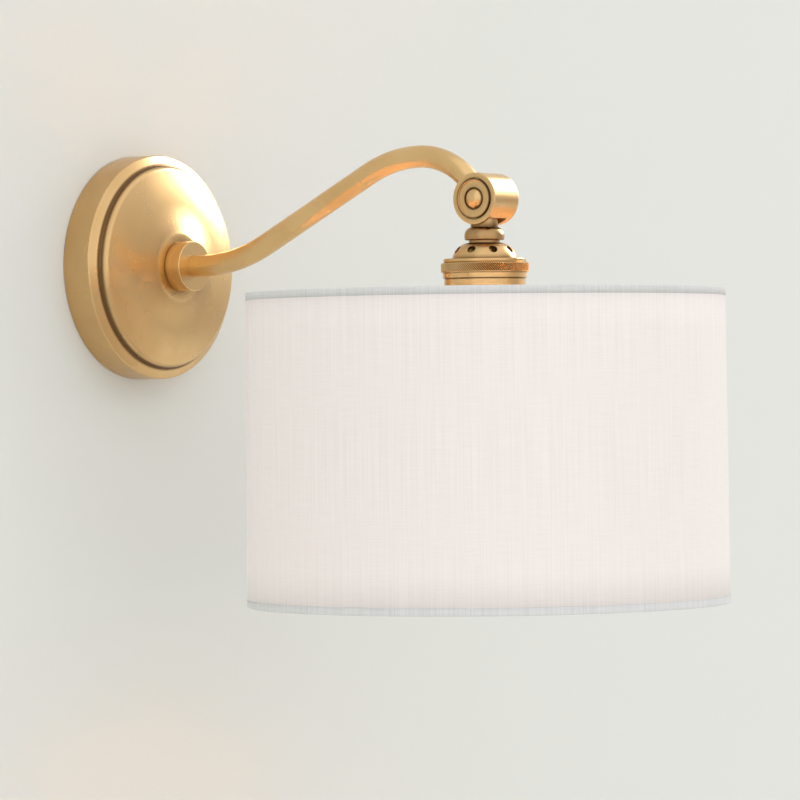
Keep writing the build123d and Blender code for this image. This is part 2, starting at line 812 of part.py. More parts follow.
# ---- Lampholder insert and contacts ----
insert_radius = shell_bore - insert_gap
insert_bottom = shell_bottom - shell_lip_height
insert_floor = insert_bottom - insert_skirt_height
insert_top = insert_floor - insert_head
terminal_places = [(holder_terminal_circle * side, 0) for side in (-1, 1)]
terminal_places.append((0, holder_terminal_circle))
contact_places = [(holder_screw_circle * side, 0) for side in (-1, 1)]
with BuildPart() as socket_insert:
    with BuildSketch(level(insert_bottom)):
        Circle(insert_radius)
    extrude(amount=insert_bottom - insert_top)
    with BuildSketch(level(insert_bottom)):
        Circle(insert_skirt_bore)
    extrude(amount=insert_skirt_height, mode=Mode.SUBTRACT)
    with BuildSketch(level(insert_top)):
        with Locations(terminal_places):
            Circle(way_radius)
    extrude(amount=-insert_wire_way, mode=Mode.SUBTRACT)
    with BuildSketch(level(insert_top)):
        with Locations(contact_places):
            Circle(holder_screw_shank + thread_gap)
    extrude(amount=-insert_wire_way, mode=Mode.SUBTRACT)
    rims = socket_insert.edges().filter_by(GeomType.CIRCLE).group_by(Axis.Z)[-1].filter_by(
        lambda edge: abs(edge.radius - insert_radius) < 0.01)
    fillet(rims, radius=insert_edge_radius)
save(socket_insert, "socket_insert")

with BuildPart() as holder_screws:
    with BuildSketch(level(insert_top)):
        with Locations(contact_places):
            Circle(holder_screw_radius)
    extrude(amount=holder_screw_height)
    with BuildSketch(level(insert_top)):
        with Locations(contact_places):
            Circle(holder_screw_shank)
    extrude(amount=-insert_wire_way + seat_gap)
    with BuildSketch(level(insert_top - holder_screw_height)):
        with Locations(contact_places):
            Rectangle(holder_screw_radius * 2, holder_screw_radius / 4)
    extrude(amount=-holder_screw_height / 2, mode=Mode.SUBTRACT)
save(holder_screws, "holder_screws")

with BuildPart() as screw_shell:
    with BuildSketch(head_plane):
        with BuildLine():
            outer = [(socket_radius, -insert_floor)]
            inner = [(socket_radius - socket_wall, -insert_floor)]
            for turn in range(socket_turns):
                waist = insert_floor + socket_pitch * (turn + 0.5)
                crest = insert_floor + socket_pitch * (turn + 1)
                outer += [(socket_radius - socket_ridge, -waist), (socket_radius, -crest)]
                inner += [(socket_radius - socket_wall - socket_ridge, -waist),
                          (socket_radius - socket_wall, -crest)]
            Polyline(*outer, *reversed(inner), close=True)
        make_face()
    revolve(axis=head_axis)
save(screw_shell, "screw_shell")

with BuildPart() as centre_tongue:
    with BuildSketch(level(insert_floor)):
        Rectangle(tongue_length, tongue_width)
    extrude(amount=-tongue_thickness)
    with BuildSketch(level(insert_floor + tongue_thickness)):
        Circle(tongue_width / 2)
    extrude(amount=-tongue_bump)
    bump_edge = centre_tongue.edges().filter_by(GeomType.CIRCLE).sort_by(Axis.Z)[0]
    fillet(bump_edge, radius=tongue_edge_radius)
save(centre_tongue, "centre_tongue")

with BuildPart() as holder_wires:
    for way, place in zip((-1, 1, 0), terminal_places):
        wire_start = pivot + (way * holder_wire_pitch, 0, -neck_shoulder + spigot_length)
        spread = insert_top - holder_wire_spread
        ending = pivot + (place[0], place[1], -insert_top - insert_wire_way + seat_gap)
        with BuildLine() as wire_path:
            FilletPolyline(
                wire_start,
                wire_start - Vector(0, 0, spread + spigot_length - neck_shoulder),
                ending + Vector(0, 0, holder_wire_straight),
                ending,
                radius=holder_wire_bend_radius,
            )
        with BuildSketch(Plane(origin=wire_start, z_dir=(0, 0, -1))):
            Circle(holder_wire_radius)
        sweep(path=wire_path.wire())
save(holder_wires, "holder_wires")

# ---- Bulb ----
tip_top = insert_floor + tongue_thickness + tongue_bump + bulb_tip_gap
insulator_top = tip_top + bulb_tip_height
bulb_cap_top = insulator_top + bulb_insulator_height
bulb_cap_bottom = bulb_cap_top + bulb_cap_height
with BuildPart() as bulb_contact:
    with BuildSketch(level(insulator_top)):
        Circle(bulb_tip_radius)
    extrude(amount=bulb_tip_height)
    fillet(bulb_contact.edges().sort_by(Axis.Z)[-1], radius=bulb_tip_edge_radius)
save(bulb_contact, "bulb_contact")

with BuildPart() as bulb_insulator:
    with BuildSketch(head_plane):
        with BuildLine():
            Polyline(
                (0, -insulator_top),
                (bulb_tip_radius, -insulator_top),
                (bulb_insulator_radius, -bulb_cap_top),
                (0, -bulb_cap_top),
                close=True,
            )
        make_face()
    revolve(axis=head_axis)
save(bulb_insulator, "bulb_insulator")

with BuildPart() as bulb_cap:
    with BuildSketch(head_plane):
        with BuildLine():
            outer = [(bulb_insulator_radius, -bulb_cap_top)]
            inner = [(bulb_insulator_radius, -bulb_cap_top - bulb_cap_wall)]
            for turn in range(socket_turns):
                crest = bulb_cap_top + socket_pitch * (turn + 0.5)
                waist = crest + socket_pitch / 2
                outer += [(bulb_cap_radius, -crest),
                          (bulb_cap_radius - socket_ridge, -waist)]
                inner += [(bulb_cap_radius - bulb_cap_wall, -crest),
                          (bulb_cap_radius - bulb_cap_wall - socket_ridge, -waist)]
            outer.append((bulb_cap_radius, -bulb_cap_bottom))
            inner.append((bulb_cap_radius - bulb_cap_wall, -bulb_cap_bottom))
            Polyline(*outer, *reversed(inner), close=True)
        make_face()
    revolve(axis=head_axis)
save(bulb_cap, "bulb_cap")

ball_middle = tip_top + bulb_length - bulb_radius
glass_top = bulb_cap_bottom - glass_in_cap
glass_root = bulb_cap_radius - bulb_cap_wall - loose_gap


def glass_outline(inset):
    """Half of the glass from its lowest point up to its root inside the cap."""
    ball = CenterArc((0, -ball_middle), bulb_radius - inset, -90, 90 + bulb_flare)
    flare_in = (ball @ 1).X - bulb_neck_radius + inset
    flare_radius = flare_in / (1 - cos(radians(bulb_flare)))
    flare = JernArc(ball @ 1, ball % 1, flare_radius, -bulb_flare)
    Polyline(
        flare @ 1,
        (bulb_neck_radius - inset, -bulb_cap_bottom - loose_gap - inset),
        (glass_root - inset, -bulb_cap_bottom - loose_gap - inset),
        (glass_root - inset, -glass_top),
        (0, -glass_top),
        ball @ 0,
    )


with BuildPart() as bulb_glass:
    with BuildSketch(head_plane):
        with BuildLine():
            glass_outline(0)
        make_face()
        with BuildLine(mode=Mode.PRIVATE) as inner_line:
            glass_outline(bulb_glass_wall)
        make_face(inner_line.edges(), mode=Mode.SUBTRACT)
    revolve(axis=head_axis)
save(bulb_glass, "bulb_glass")

stem_glass_bottom = glass_top + stem_glass_height
with BuildPart() as bulb_stem:
    with BuildSketch(head_plane):
        with BuildLine():
            Polyline(
                (0, -glass_top),
                (glass_root - bulb_glass_wall - thread_gap, -glass_top),
                (stem_glass_radius, -glass_top - stem_glass_height / 3),
                (stem_glass_radius / 2, -stem_glass_bottom),
                (0, -stem_glass_bottom),
                close=True,
            )
        make_face()
    revolve(axis=head_axis)
save(bulb_stem, "bulb_stem")

filament_top = stem_glass_bottom + filament_circle
filament_bottom = filament_top + filament_length
with BuildPart() as bulb_frame:
    with BuildSketch(level(filament_bottom + post_radius)):
        Circle(post_radius)
    extrude(amount=filament_bottom + post_radius - stem_glass_bottom)
    for spoke in range(filament_count):
        turn = radians(spoke * 360 / filament_count)
        outward = Vector(cos(turn), sin(turn), 0)
        for drop in (filament_top - post_radius, filament_bottom + post_radius):
            with BuildSketch(Plane(origin=pivot - Vector(0, 0, drop), z_dir=outward)):
                Circle(post_radius)
            extrude(amount=filament_circle + filament_radius)
save(bulb_frame, "bulb_frame")

with BuildPart() as bulb_filaments:
    with BuildSketch(level(filament_bottom)):
        with PolarLocations(filament_circle, filament_count):
            Circle(filament_radius)
    extrude(amount=filament_length)
save(bulb_filaments, "bulb_filaments")

# ---- Shade ----
shade_bottom_drop = shade_drop + shade_height
shade_taper = (shade_bottom_radius - shade_top_radius) / shade_height
hoop_edge = fabric_thickness + hoop_gap + hoop_radius
hoop_inset = hoop_edge + liner_thickness
tape_radius = hoop_edge + tape_thickness
tape_inset = hoop_inset + hoop_edge
liner_inset = fabric_thickness + liner_thickness


def shade_radius(drop):
    """Outer radius of the fabric at a distance below the pivot."""
    return shade_top_radius + shade_taper * (drop - shade_drop)


def rim_point(inset, edge_distance, edge_drop, inward):
    """A point of the section, from the outer surface and from one of the shade's edges."""
    drop = edge_drop + inward * edge_distance
    return (shade_radius(drop) - inset, -drop)


# Spokes run level from the fitter and rise to the hoop.
fitter_top = band_bottom + seat_gap
spoke_drop = fitter_top + fitter_thickness / 2
hoop_drop = shade_drop + tape_radius
hoop_middle = shade_radius(hoop_drop) - hoop_inset
spoke_directions = [
    Vector(1, 0, 0).rotate(Axis.Z, spoke_turn + spoke * 360 / spoke_count)
    for spoke in range(spoke_count)
]


def spoke_points(outward):
    """Start, bend and end of the spoke that runs in the direction outward."""
    low = Vector(0, 0, -spoke_drop)
    high = Vector(0, 0, -hoop_drop)
    return (
        pivot + outward * (fitter_outer_radius - spoke_radius) + low,
        pivot + outward * (hoop_middle - spoke_rise_start) + low,
        pivot + outward * hoop_middle + high,
    )


with BuildPart() as shade_fabric:
    with BuildSketch(head_plane):
        with BuildLine():
            Polyline(
                rim_point(0, tape_corner_radius, shade_drop, 1),
                rim_point(0, tape_corner_radius, shade_bottom_drop, -1),
                rim_point(fabric_thickness, tape_corner_radius, shade_bottom_drop, -1),
                rim_point(fabric_thickness, tape_corner_radius, shade_drop, 1),
                close=True,
            )
        make_face()
    revolve(axis=head_axis)
save(shade_fabric, "shade_fabric")

# A tape is folded over each hoop, from the outside of the fabric to the inside of the liner.
tape_corner = tape_corner_radius - tape_thickness
tape_turns = ((tape_corner, tape_corner_radius), (hoop_inset, tape_radius))
for label, edge_drop, inward in (
        ("top_tape", shade_drop, 1), ("bottom_tape", shade_bottom_drop, -1)):
    with BuildPart() as edge_tape:
        with BuildSketch(head_plane):
            with BuildLine():
                Polyline(
                    rim_point(tape_corner, 0, edge_drop, inward),
                    rim_point(hoop_inset, 0, edge_drop, inward),
                    rim_point(tape_inset + tape_thickness, tape_radius, edge_drop, inward),
                    rim_point(tape_inset + tape_thickness, tape_tuck, edge_drop, inward),
                    rim_point(liner_inset + tape_thickness, tape_lap, edge_drop, inward),
                    rim_point(liner_inset + tape_thickness, tape_height, edge_drop, inward),
                    rim_point(liner_inset, tape_height, edge_drop, inward),
                    rim_point(liner_inset, tape_front, edge_drop, inward),
                    rim_point(-tape_thickness, tape_front, edge_drop, inward),
                    rim_point(-tape_thickness, tape_corner_radius, edge_drop, inward),
                    close=True,
                )
            make_face()
            for inset, radius in tape_turns:
                with Locations(rim_point(inset, radius, edge_drop, inward)):
                    Circle(radius)
            with BuildLine():
                Polyline(
                    rim_point(tape_corner, tape_thickness, edge_drop, inward),
                    rim_point(hoop_inset, tape_thickness, edge_drop, inward),
                    rim_point(tape_inset, tape_radius, edge_drop, inward),
                    rim_point(tape_inset, tape_tuck, edge_drop, inward),
                    rim_point(liner_inset, tape_lap - tape_thickness, edge_drop, inward),
                    rim_point(0, tape_lap - tape_thickness, edge_drop, inward),
                    rim_point(0, tape_corner_radius, edge_drop, inward),
                    close=True,
                )
            make_face(mode=Mode.SUBTRACT)
            for inset, radius in tape_turns:
                with Locations(rim_point(inset, radius, edge_drop, inward)):
                    Circle(radius - tape_thickness, mode=Mode.SUBTRACT)
        revolve(axis=head_axis)
        if label == "top_tape":
            for outward in spoke_directions:
                points = spoke_points(outward)
                with BuildLine() as spoke_way:
                    FilletPolyline(*points, radius=spoke_bend_radius)
                with BuildSketch(Plane(origin=points[0], z_dir=outward)):
                    Circle(spoke_radius + hoop_gap)
                sweep(path=spoke_way.wire(), mode=Mode.SUBTRACT)
    save(edge_tape, label)

liner_top = shade_drop + tape_corner_radius
liner_bottom = shade_bottom_drop - tape_corner_radius
with BuildPart() as shade_liner:
    with BuildSketch(head_plane):
        with BuildLine():
            Polyline(
                (shade_radius(liner_top) - fabric_thickness, -liner_top),
                (shade_radius(liner_bottom) - fabric_thickness, -liner_bottom),
                (shade_radius(liner_bottom) - liner_inset, -liner_bottom),
                (shade_radius(liner_top) - liner_inset, -liner_top),
                close=True,
            )
        make_face()
    revolve(axis=head_axis)
save(shade_liner, "shade_liner")

with BuildPart() as bottom_hoop:
    with BuildSketch(head_plane):
        with Locations(rim_point(hoop_inset, tape_radius, shade_bottom_drop, -1)):
            Circle(hoop_radius)
    revolve(axis=head_axis)
save(bottom_hoop, "bottom_hoop")

# ---- Spider: fitter ring, spokes and top hoop, welded together ----
fitter_bore = shade_thread_radius + fitter_gap
with BuildPart() as shade_spider:
    with BuildSketch(level(fitter_top + fitter_thickness)):
        Circle(fitter_outer_radius)
        Circle(fitter_bore, mode=Mode.SUBTRACT)
    extrude(amount=fitter_thickness)
    with BuildSketch(head_plane):
        with Locations((hoop_middle, -hoop_drop)):
            Circle(hoop_radius)
    revolve(axis=head_axis)
    for outward in spoke_directions:
        points = spoke_points(outward)
        with BuildLine() as spoke_path:
            FilletPolyline(*points, radius=spoke_bend_radius)
        with BuildSketch(Plane(origin=points[0], z_dir=outward)):
            Circle(spoke_radius)
        sweep(path=spoke_path.wire())
    with BuildSketch(level(fitter_top + fitter_thickness)):
        Circle(fitter_bore)
    extrude(amount=fitter_thickness, mode=Mode.SUBTRACT)
save(shade_spider, "shade_spider")

# ---- Shade ring under the fitter ----
shade_ring_top = fitter_top + fitter_thickness + seat_gap
with BuildPart() as shade_ring:
    with BuildSketch(level(shade_ring_top + shade_ring_height)):
        Circle(shade_ring_radius)
        Circle(shade_thread_radius + turning_gap, mode=Mode.SUBTRACT)
        with PolarLocations(shade_ring_radius, grip_count):
            Circle(grip_radius, mode=Mode.SUBTRACT)
    extrude(amount=shade_ring_height)
save(shade_ring, "shade_ring")
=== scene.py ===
# %% [markdown]
# # A wall light with a fabric drum shade
# This file dresses a finished engineering model of a brass wall light. The metal, the hidden
# pieces and the joints come from that model and keep their shapes. Here they get their
# finishes, and the pieces whose looks depend on fine detail are made new: the linen of the
# shade, the tape on its two edges, and the knurled ring of the lampholder.

# %% Load the frame
import json
import math

import bmesh
import bpy
from mathutils import Matrix, Vector

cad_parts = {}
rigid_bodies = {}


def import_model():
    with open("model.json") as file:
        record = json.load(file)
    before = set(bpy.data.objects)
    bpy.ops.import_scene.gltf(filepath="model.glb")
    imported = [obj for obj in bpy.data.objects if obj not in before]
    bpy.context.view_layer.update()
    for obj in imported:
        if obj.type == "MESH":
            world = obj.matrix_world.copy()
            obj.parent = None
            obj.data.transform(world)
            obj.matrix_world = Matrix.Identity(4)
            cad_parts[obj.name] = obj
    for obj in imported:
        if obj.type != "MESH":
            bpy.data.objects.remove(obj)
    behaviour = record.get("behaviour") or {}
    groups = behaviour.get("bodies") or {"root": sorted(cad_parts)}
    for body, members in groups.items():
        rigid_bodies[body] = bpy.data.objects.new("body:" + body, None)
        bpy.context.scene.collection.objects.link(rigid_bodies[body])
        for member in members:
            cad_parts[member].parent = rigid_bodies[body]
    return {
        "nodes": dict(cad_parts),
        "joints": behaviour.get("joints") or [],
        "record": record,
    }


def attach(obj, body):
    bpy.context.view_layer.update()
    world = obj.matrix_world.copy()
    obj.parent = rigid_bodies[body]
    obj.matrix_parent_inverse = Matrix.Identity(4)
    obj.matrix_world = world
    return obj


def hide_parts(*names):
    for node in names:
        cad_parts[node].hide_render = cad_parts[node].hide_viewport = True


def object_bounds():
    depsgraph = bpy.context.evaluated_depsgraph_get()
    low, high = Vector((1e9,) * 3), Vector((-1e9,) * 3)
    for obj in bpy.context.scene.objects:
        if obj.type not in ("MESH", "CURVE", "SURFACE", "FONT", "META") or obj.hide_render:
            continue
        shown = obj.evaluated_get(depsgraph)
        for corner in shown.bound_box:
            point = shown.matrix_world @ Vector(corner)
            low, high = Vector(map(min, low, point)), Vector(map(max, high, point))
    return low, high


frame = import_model()
cad_low, cad_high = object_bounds()
nodes = frame["nodes"]
tilt_joint = next(j for j in frame["joints"] if j["name"] == "head_tilt")
pivot = Vector(tilt_joint["pos_m"])
MM = 0.001
print("nodes", len(nodes), "pivot", tuple(round(c, 5) for c in pivot))

# %% [markdown]
# ## Camera
# The camera stands to the left of the light, far off, with a long lens, so that the shade's
# two edges are nearly straight. Its place and turn were solved from the outlines of the
# shade, plate and knuckle. A view matrix is built from the looking direction and a small
# roll, which is steadier than aiming by hand.

# %% Camera
camera_azimuth = math.radians(-53.293)
camera_pitch = math.radians(-0.186)
camera_roll = math.radians(-0.662)
camera_place = Vector((-1.93973, -1.62954, -0.06767))

forward = Vector((
    -math.sin(camera_azimuth) * math.cos(camera_pitch),
    math.cos(camera_azimuth) * math.cos(camera_pitch),
    math.sin(camera_pitch),
))
level_right = forward.cross(Vector((0, 0, 1))).normalized()
level_up = level_right.cross(forward)
right = math.cos(camera_roll) * level_right + math.sin(camera_roll) * level_up
up = -math.sin(camera_roll) * level_right + math.cos(camera_roll) * level_up

camera_data = bpy.data.cameras.new("camera")
camera_data.sensor_width = 36.0
camera_data.lens = 202.5
camera_data.clip_start = 0.05
camera_data.clip_end = 50.0
camera = bpy.data.objects.new("camera", camera_data)
bpy.context.scene.collection.objects.link(camera)
turn = Matrix((right, up, -forward)).transposed().to_4x4()
camera.matrix_world = Matrix.Translation(camera_place) @ turn
bpy.context.scene.camera = camera
bpy.context.scene.view_settings.view_transform = "Standard"
print("camera lens", camera_data.lens)

# %% [markdown]
# ## Small helpers for nodes
# A material is a tree of nodes. These helpers add a node with its settings and join two
# sockets, so that each finish below reads as a short list.


# %% Node helpers
def add(tree, kind, inputs=None, **settings):
    """Adds a node, with values for its inputs by name or number."""
    made = tree.nodes.new(kind)
    for name, value in settings.items():
        setattr(made, name, value)
    for name, value in (inputs or {}).items():
        made.inputs[name].default_value = value
    return made


def join(tree, source, target):
    """Links an output socket to an input socket."""
    tree.links.new(source, target)


# A mix node has sockets for numbers, vectors and colours; these are the colour ones.
MIX_FACTOR, MIX_FIRST, MIX_SECOND, MIX_RESULT = 0, 6, 7, 2


def mix_colour(tree, factor, first, second, blend="MIX"):
    """A colour mix whose ends are sockets or colours."""
    made = add(tree, "ShaderNodeMix", data_type="RGBA", blend_type=blend)
    for number, value in ((MIX_FACTOR, factor), (MIX_FIRST, first), (MIX_SECOND, second)):
        if isinstance(value, bpy.types.NodeSocket):
            join(tree, value, made.inputs[number])
        else:
            made.inputs[number].default_value = value
    return made.outputs[MIX_RESULT]


def spread(tree, value, low, high):
    """Stretches a 0 to 1 value over the range low to high."""
    made = add(tree, "ShaderNodeMapRange", {"To Min": low, "To Max": high})
    join(tree, value, made.inputs["Value"])
    return made.outputs["Result"]


def math_node(tree, operation, first, second=None):
    """Arithmetic on two sockets or numbers."""
    made = add(tree, "ShaderNodeMath", operation=operation)
    for number, value in ((0, first), (1, second)):
        if isinstance(value, bpy.types.NodeSocket):
            join(tree, value, made.inputs[number])
        elif value is not None:
            made.inputs[number].default_value = value
    return made.outputs[0]


def new_group(name, inputs, outputs):
    """An empty shader group with named inputs and outputs."""
    group = bpy.data.node_groups.new(name, "ShaderNodeTree")
    for label, kind, value in inputs:
        socket = group.interface.new_socket(label, in_out="INPUT", socket_type=kind)
        if value is not None:
            socket.default_value = value
    for label, kind in outputs:
        group.interface.new_socket(label, in_out="OUTPUT", socket_type=kind)
    return group, add(group, "NodeGroupInput"), add(group, "NodeGroupOutput")


def new_material(name, metallic=0.0, roughness=0.5, **sockets):
    """A material with one Principled shader and its plain values."""
    material = bpy.data.materials.new(name)
    material.use_nodes = True
    shader = material.node_tree.nodes["Principled BSDF"]
    shader.inputs["Metallic"].default_value = metallic
    shader.inputs["Roughness"].default_value = roughness
    for label, value in sockets.items():
        shader.inputs[label.replace("_", " ")].default_value = value
    return material, material.node_tree, shader


# %% [markdown]
# ## Satin finish
# Antique satin brass is brushed, then darkened and wiped, so it shows soft blotches, a fine
# grain and a slightly uneven gloss. One group makes all three from noise on Object
# coordinates, and every metal uses it with its own two colours.

# %% Satin group
FLOAT, COLOUR, VECTOR = "NodeSocketFloat", "NodeSocketColor", "NodeSocketVector"
satin, satin_in, satin_out = new_group(
    "satin_finish",
    [("Light", COLOUR, (0.6, 0.45, 0.25, 1)), ("Dark", COLOUR, (0.4, 0.27, 0.13, 1)),
     ("Gloss Low", FLOAT, 0.28), ("Gloss High", FLOAT, 0.42)],
    [("Colour", COLOUR), ("Roughness", FLOAT), ("Height", FLOAT)],
)
where = add(satin, "ShaderNodeTexCoord")
blotch = add(satin, "ShaderNodeTexNoise", {"Scale": 45.0, "Detail": 1.0, "Roughness": 0.4})
grain = add(satin, "ShaderNodeTexNoise", {"Scale": 2600.0, "Detail": 2.0, "Roughness": 0.5})
for texture in (blotch, grain):
    join(satin, where.outputs["Object"], texture.inputs["Vector"])
join(satin, mix_colour(satin, blotch.outputs[0], satin_in.outputs["Light"],
                       satin_in.outputs["Dark"]), satin_out.inputs["Colour"])
gloss = add(satin, "ShaderNodeMapRange")
join(satin, blotch.outputs[0], gloss.inputs["Value"])
join(satin, satin_in.outputs["Gloss Low"], gloss.inputs["To Min"])
join(satin, satin_in.outputs["Gloss High"], gloss.inputs["To Max"])
join(satin, gloss.outputs["Result"], satin_out.inputs["Roughness"])
join(satin, grain.outputs[0], satin_out.inputs["Height"])


def satin_metal(name, light, dark, gloss_low, gloss_high, bump=0.008):
    """A metal from the satin group. Returns it with its tree, shader and group node."""
    material, tree, shader = new_material(name, metallic=1.0)
    finish = add(tree, "ShaderNodeGroup", node_tree=satin)
    finish.inputs["Light"].default_value = (*light, 1)
    finish.inputs["Dark"].default_value = (*dark, 1)
    finish.inputs["Gloss Low"].default_value = gloss_low
    finish.inputs["Gloss High"].default_value = gloss_high
    relief = add(tree, "ShaderNodeBump", {"Strength": bump, "Distance": 0.0002})
    join(tree, finish.outputs["Height"], relief.inputs["Height"])
    join(tree, relief.outputs["Normal"], shader.inputs["Normal"])
    join(tree, finish.outputs["Colour"], shader.inputs["Base Color"])
    join(tree, finish.outputs["Roughness"], shader.inputs["Roughness"])
    return material, tree, shader, finish


BRASS_LIGHT, BRASS_DARK = (0.80, 0.55, 0.27), (0.66, 0.42, 0.18)
satin_brass = satin_metal("satin_brass", BRASS_LIGHT, BRASS_DARK, 0.22, 0.32)[0]
turned_brass = satin_metal("turned_brass", (0.86, 0.66, 0.33), (0.74, 0.54, 0.24), 0.18, 0.28)[0]
zinc_plate = satin_metal("zinc_plate", (0.66, 0.67, 0.69), (0.5, 0.51, 0.53), 0.3, 0.45)[0]
nickel_plate = satin_metal("nickel_plate", (0.72, 0.7, 0.66), (0.6, 0.58, 0.54), 0.2, 0.3)[0]

# %% [markdown]
# ## Patina and painted shade
# When antique brass is wiped, the dark patina stays in its hollows and at its joints, and
# edges and crowns go bright. Some of the darkening is painted shade: the band in the plate's
# cove is patina and a painted shadow as well, and the plate's hollow next to its seat is
# painted darker, as a painted reflection. The pieces are turned, so a distance from an axis,
# or a depth along it, puts each line in its place. A vector is moved to a centre, masked to
# the directions that count, and its length goes through a colour ramp.


# %% Patina and painted shade metals
def patina_and_shade_brass(name, centre, mask, reach, lines):
    """Brass with tones along a distance; lines pairs millimetres with a tone, up to reach."""
    material, tree, shader, finish = satin_metal(name, BRASS_LIGHT, BRASS_DARK, 0.22, 0.34)
    place = add(tree, "ShaderNodeTexCoord")
    moved = add(tree, "ShaderNodeVectorMath", operation="SUBTRACT")
    join(tree, place.outputs["Object"], moved.inputs[0])
    moved.inputs[1].default_value = centre
    masked = add(tree, "ShaderNodeVectorMath", operation="MULTIPLY")
    join(tree, moved.outputs["Vector"], masked.inputs[0])
    masked.inputs[1].default_value = mask
    span = add(tree, "ShaderNodeVectorMath", operation="LENGTH")
    join(tree, masked.outputs["Vector"], span.inputs[0])
    ramp = add(tree, "ShaderNodeValToRGB")
    stops = ramp.color_ramp.elements
    while len(stops) < len(lines):
        stops.new(0.5)
    for stop, (distance, tone) in zip(stops, lines):
        stop.position = distance / reach
        stop.color = (tone, tone * (0.78 + 0.22 * tone), tone * (0.66 + 0.34 * tone), 1)
    join(tree, math_node(tree, "DIVIDE", span.outputs["Value"], reach * MM), ramp.inputs["Fac"])
    join(tree, mix_colour(tree, 1.0, finish.outputs["Colour"], ramp.outputs["Color"],
                          "MULTIPLY"), shader.inputs["Base Color"])
    return material


# The dark band at 56 to 57 mm lies in the cove: patina there, and a painted shadow of the step.
# From the seat's crest at 18 mm out to 38 mm the plate is a little darker: a painted reflection.
plate_brass = patina_and_shade_brass("plate_brass", (0, 0, 0), (1, 0, 1), 62.5, [
    (0, 0.6), (14.2, 0.6), (17.0, 0.9), (18.4, 1.0), (20.5, 0.8), (26, 0.9), (38, 1.0),
    (54.0, 1.0), (55.8, 0.8), (56.3, 0.22), (57.1, 0.2), (57.8, 0.7), (58.4, 0.95), (62.5, 0.9)])
knuckle_brass = patina_and_shade_brass("knuckle_brass", pivot, (0, 1, 1), 14.0, [
    (0, 1.0), (4.5, 0.95), (5.05, 0.45), (5.3, 0.2), (5.9, 0.25), (6.4, 0.85), (9.3, 0.95),
    (9.8, 0.8), (10.3, 0.25), (10.9, 0.22), (11.4, 0.85), (13.3, 1.0), (14.0, 1.0)])
# The stem, bead and neck are darker in broad bands, and so is the cap at its top and foot. Dark
# lines sit at the joints and in the skirt's groove.
head_brass = patina_and_shade_brass("head_brass", pivot, (0, 0, 1), 60.0, [
    (0, 0.8), (12.0, 0.7), (14.6, 0.25), (15.3, 0.25), (16.5, 0.5), (19.5, 0.68), (21.3, 0.6),
    (21.9, 0.25), (22.3, 0.6), (22.9, 0.6), (23.4, 0.25), (24.2, 0.7), (27.0, 0.9), (29.5, 0.9),
    (31.0, 0.6), (31.5, 0.25), (31.9, 0.7), (32.2, 1.0), (33.5, 0.8), (39.3, 0.7), (39.8, 1.0),
    (41.7, 1.0), (42.05, 0.2), (42.4, 0.25), (42.9, 1.0), (60, 1.0)])

# %% [markdown]
# ## Plastics, porcelain, glass and wire coating
# Moulded and glazed pieces are smooth, with a faint unevenness in their colour and gloss.
# One group gives that, and each material sets its own colours and gloss.

# %% Moulded group and its materials
moulded, moulded_in, moulded_out = new_group(
    "moulded_surface",
    [("Light", COLOUR, (0.8, 0.8, 0.8, 1)), ("Dark", COLOUR, (0.7, 0.7, 0.7, 1)),
     ("Scale", FLOAT, 300.0)],
    [("Colour", COLOUR), ("Variation", FLOAT)],
)
where = add(moulded, "ShaderNodeTexCoord")
cloud = add(moulded, "ShaderNodeTexNoise", {"Detail": 3.0})
join(moulded, where.outputs["Object"], cloud.inputs["Vector"])
join(moulded, moulded_in.outputs["Scale"], cloud.inputs["Scale"])
join(moulded, mix_colour(moulded, cloud.outputs[0], moulded_in.outputs["Light"],
                         moulded_in.outputs["Dark"]), moulded_out.inputs["Colour"])
join(moulded, cloud.outputs[0], moulded_out.inputs["Variation"])


def moulded_material(name, light, dark, gloss_low, gloss_high, scale=300.0, **sockets):
    """A smooth material from the moulded group, with any further plain values by name."""
    material, tree, shader = new_material(name, **sockets)
    surface = add(tree, "ShaderNodeGroup", node_tree=moulded)
    surface.inputs["Light"].default_value = (*light, 1)
    surface.inputs["Dark"].default_value = (*dark, 1)
    surface.inputs["Scale"].default_value = scale
    join(tree, surface.outputs["Colour"], shader.inputs["Base Color"])
    join(tree, spread(tree, surface.outputs["Variation"], gloss_low, gloss_high),
         shader.inputs["Roughness"])
    return material


terminal_nylon = moulded_material("terminal_nylon", (.8, .79, .73), (.72, .71, .65), .4, .55)
black_nylon = moulded_material("black_nylon", (.03, .03, .03), (.015, .015, .015), .45, .6)
wire_coat = moulded_material("wire_coat", (.26, .17, .11), (.2, .12, .08), .35, .5)
porcelain = moulded_material("porcelain", (.82, .81, .77), (.76, .75, .71), .08, .16,
                             Coat_Weight=0.5)
cap_glass = moulded_material("cap_glass", (.02, .02, .025), (.01, .01, .012), .08, .15)
white_coat = moulded_material("white_coat", (.8, .8, .78), (.74, .74, .72), .35, .5)
lining = moulded_material("lining", (.86, .85, .82), (.81, .8, .77), .55, .7, scale=40.0)
clear_glass = moulded_material("clear_glass", (1, .98, .95), (.97, .95, .92), .02, .05,
                               Transmission_Weight=1.0, IOR=1.45)
light_stick = moulded_material("light_stick", (1, .8, .45), (1, .7, .35), .4, .5,
                               Emission_Color=(1, .62, .3, 1), Emission_Strength=2.0)

# %% [markdown]
# ## Linen
# The shade is a plain linen weave: upright and level threads of uneven thickness, with a
# few thick slubs. The threads follow the drum, so the pattern reads the cloth's own UV map,
# which is laid out in metres. Long thin noise gives each direction its threads.

# %% Linen group
linen_weave, linen_in, linen_out = new_group(
    "linen_weave",
    [("Vector", VECTOR, None)],
    [("Thread", FLOAT), ("Slub", FLOAT), ("Height", FLOAT)],
)


